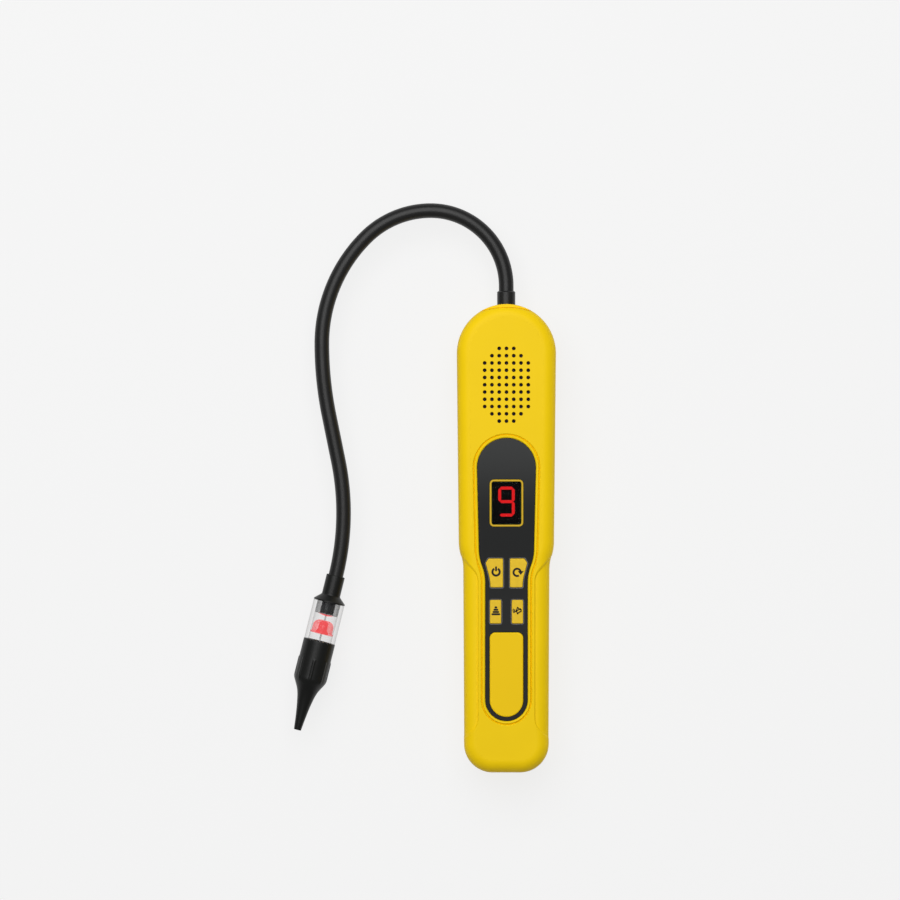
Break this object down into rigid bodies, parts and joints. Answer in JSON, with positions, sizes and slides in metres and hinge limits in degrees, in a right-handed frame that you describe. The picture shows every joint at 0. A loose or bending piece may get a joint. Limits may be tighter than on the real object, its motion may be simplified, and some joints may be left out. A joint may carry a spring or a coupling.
{
  "type": "refrigerant leak detector",
  "caption": "Handheld refrigerant leak detector: yellow case with grille, display and keys, a self-holding gooseneck and a probe with signal lamp and nozzle.",
  "frame": {"origin": "on the flat back of the case, half way along it, on its centre line", "axes": "+X to the right of the case seen from the front, +Y along the case towards the gooseneck, +Z out of the display"},
  "size_m": [0.1239, 0.2689, 0.0323],
  "materials": {
    "case_yellow": "fine satin moulded plastic",
    "fascia_dark": "smooth dark grey overlay",
    "bezel_yellow": "printed frame line",
    "window_glass": "smoked clear window",
    "display_black": "matt black",
    "digit_red": "lit red segments",
    "key_yellow": "matt key caps",
    "board_green": "solder mask",
    "switch_black": "matt black",
    "screw_steel": "zinc plated",
    "cloth_black": "woven",
    "gasket_black": "soft black",
    "frame_black": "pressed steel",
    "cone_paper": "pressed paper",
    "magnet_steel": "plated",
    "tray_black": "matt black",
    "cell_wrap": "plain wrapped cells",
    "contact_nickel": "nickel plated",
    "neck_black": "satin black sleeve",
    "probe_black": "satin black",
    "housing_clear": "clear moulded plastic",
    "lamp_pink": "tinted clear dome",
    "lamp_red": "red lamp body",
    "pin_brass": "gold plated",
    "filter_white": "felt"
  },
  "bodies": {
    "handle": {"front_case": "case_yellow", "rear_case": "case_yellow", "fascia": "fascia_dark", "window_bezel": "bezel_yellow", "display_window": "window_glass", "display_module": "display_black", "display_digit": "digit_red", "main_board": "board_green", "key_switches": "switch_black", "board_screws": "screw_steel", "speaker_cloth": "cloth_black", "speaker_gasket": "gasket_black", "speaker_frame": "frame_black", "speaker_cone": "cone_paper", "speaker_magnet": "magnet_steel", "battery_tray": "tray_black", "battery_cells": "cell_wrap", "battery_springs": "contact_nickel", "battery_contacts": "contact_nickel", "case_screws": "screw_steel", "neck_bush": "probe_black", "neck_link_0": "neck_black"},
    "door": {"battery_door": "case_yellow"},
    "power_button": {"power_key": "key_yellow"},
    "reset_button": {"reset_key": "key_yellow"},
    "sensitivity_button": {"sensitivity_key": "key_yellow"},
    "mute_button": {"mute_key": "key_yellow"},
    "neck_1": {"neck_link_1": "neck_black"},
    "neck_2": {"neck_link_2": "neck_black"},
    "neck_3": {"neck_link_3": "neck_black"},
    "neck_4": {"neck_link_4": "neck_black"},
    "neck_5": {"neck_link_5": "neck_black"},
    "neck_6": {"neck_link_6": "neck_black"},
    "neck_7": {"neck_link_7": "neck_black"},
    "probe": {"neck_link_8": "neck_black", "probe_collar": "probe_black", "clear_housing": "housing_clear", "lamp_dome": "lamp_pink", "lamp_core": "lamp_red", "lamp_leads": "contact_nickel", "sensor_base": "probe_black", "sensor_can": "screw_steel", "sensor_pins": "pin_brass", "nose_seal": "gasket_black"},
    "nose": {"probe_nose": "probe_black", "tip_filter": "filter_white"}
  },
  "joints": [
    {"name": "neck_bend_1", "type": "hinge", "parent": "handle", "child": "neck_1", "pos_m": [-0.00081, 0.12674, 0.016], "axis": [0, 0, 1], "range_deg": [-24, 2.5]},
    {"name": "neck_bend_2", "type": "hinge", "parent": "neck_1", "child": "neck_2", "pos_m": [-0.01328, 0.14698, 0.016], "axis": [0, 0, 1], "range_deg": [-24, 2.5]},
    {"name": "neck_bend_3", "type": "hinge", "parent": "neck_2", "child": "neck_3", "pos_m": [-0.0357, 0.1549, 0.016], "axis": [0, 0, 1], "range_deg": [-24, 2.5]},
    {"name": "neck_lift", "type": "hinge", "parent": "neck_3", "child": "neck_4", "pos_m": [-0.06646, 0.14216, 0.016], "axis": [-0.7071, 0.7071, 0], "range_deg": [0, 60]},
    {"name": "neck_bend_4", "type": "hinge", "parent": "neck_4", "child": "neck_5", "pos_m": [-0.08725, 0.09195, 0.016], "axis": [0.002, 0, 1], "range_deg": [-24, 2.5]},
    {"name": "neck_bend_5", "type": "hinge", "parent": "neck_5", "child": "neck_6", "pos_m": [-0.08382, 0.05786, 0.016], "axis": [0.002, 0, 1], "range_deg": [-24, 2.5]},
    {"name": "neck_bend_6", "type": "hinge", "parent": "neck_6", "child": "neck_7", "pos_m": [-0.07946, 0.0364, 0.016], "axis": [0.002, 0, 1], "range_deg": [-24, 2.5]},
    {"name": "neck_bend_7", "type": "hinge", "parent": "neck_7", "child": "probe", "pos_m": [-0.07702, 0.0092, 0.016], "axis": [0.002, 0, 1], "range_deg": [-24, 2.5]},
    {"name": "nose_pull", "type": "slide", "parent": "probe", "child": "nose", "axis": [-0.2419, -0.9703, 0], "range_m": [0, 0.02]},
    {"name": "power_press", "type": "slide", "parent": "handle", "child": "power_button", "axis": [0, 0, -1], "range_m": [0, 0.0005], "stiffness_N_per_m": 600},
    {"name": "reset_press", "type": "slide", "parent": "handle", "child": "reset_button", "axis": [0, 0, -1], "range_m": [0, 0.0005], "stiffness_N_per_m": 600},
    {"name": "sensitivity_press", "type": "slide", "parent": "handle", "child": "sensitivity_button", "axis": [0, 0, -1], "range_m": [0, 0.0005], "stiffness_N_per_m": 600},
    {"name": "mute_press", "type": "slide", "parent": "handle", "child": "mute_button", "axis": [0, 0, -1], "range_m": [0, 0.0005], "stiffness_N_per_m": 600},
    {"name": "door_slide", "type": "slide", "parent": "handle", "child": "door", "axis": [0, -1, 0], "range_m": [0, 0.106]}
  ]
}
